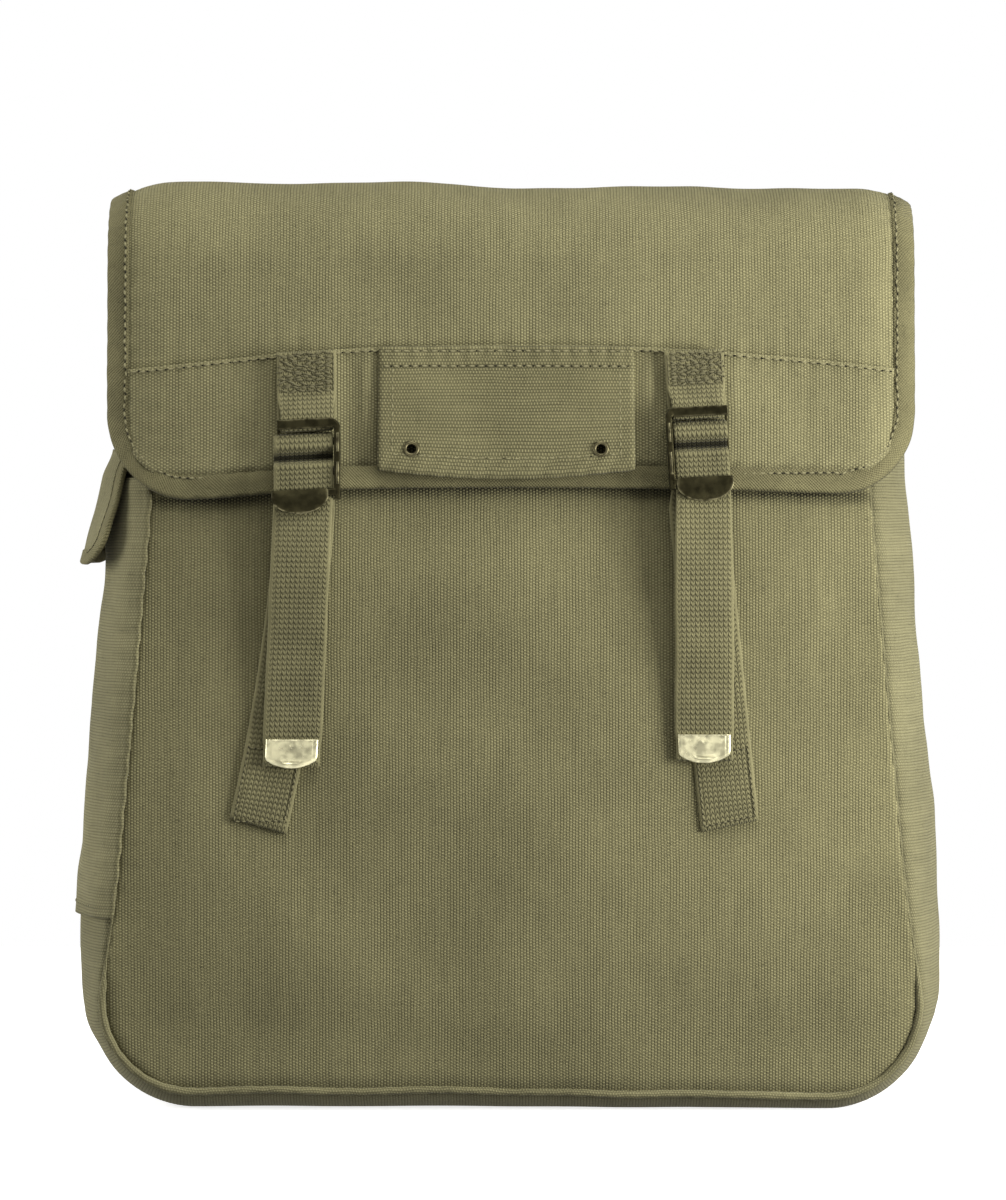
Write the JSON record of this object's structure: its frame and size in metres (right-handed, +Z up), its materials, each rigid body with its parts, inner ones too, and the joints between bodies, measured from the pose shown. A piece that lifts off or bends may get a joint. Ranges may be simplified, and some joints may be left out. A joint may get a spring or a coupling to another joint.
{
  "type": "haversack",
  "caption": "Upright canvas haversack with a bound flap, name tab, web straps closed in slide buckles and a side pocket.",
  "frame": {"origin": "middle of the bag's bottom, on the surface it stands on", "axes": "+X to the viewer's right, +Y from the front to the back, +Z up; the flap and buckles face -Y"},
  "size_m": [0.364, 0.1282, 0.3856],
  "materials": {
    "panel_canvas": "olive drab cotton canvas, plain weave",
    "gusset_canvas": "olive drab cotton canvas, weave turned a quarter",
    "tab_canvas": "doubled olive drab canvas",
    "bias_tape": "twilled cotton bias tape",
    "cotton_web": "woven cotton web",
    "black_metal": "blackened steel, worn at the edges",
    "dark_bronze": "darkened brass",
    "pale_metal": "pale nickelled sheet"
  },
  "bodies": {
    "root": {"front_panel": "panel_canvas", "back_panel": "panel_canvas", "gusset": "gusset_canvas", "front_seam_welt": "gusset_canvas", "back_seam_welt": "gusset_canvas", "flap": "panel_canvas", "flap_binding": "bias_tape", "flap_reinforcement": "panel_canvas", "name_tab": "tab_canvas", "eyelet_left": "dark_bronze", "eyelet_right": "dark_bronze", "chape_left": "cotton_web", "buckle_left": "black_metal", "strap_left": "cotton_web", "strap_tip_left": "pale_metal", "chape_right": "cotton_web", "buckle_right": "black_metal", "strap_right": "cotton_web", "strap_tip_right": "pale_metal", "side_pocket": "gusset_canvas", "side_pocket_flap": "gusset_canvas", "side_pocket_binding": "bias_tape"}
  },
  "joints": []
}
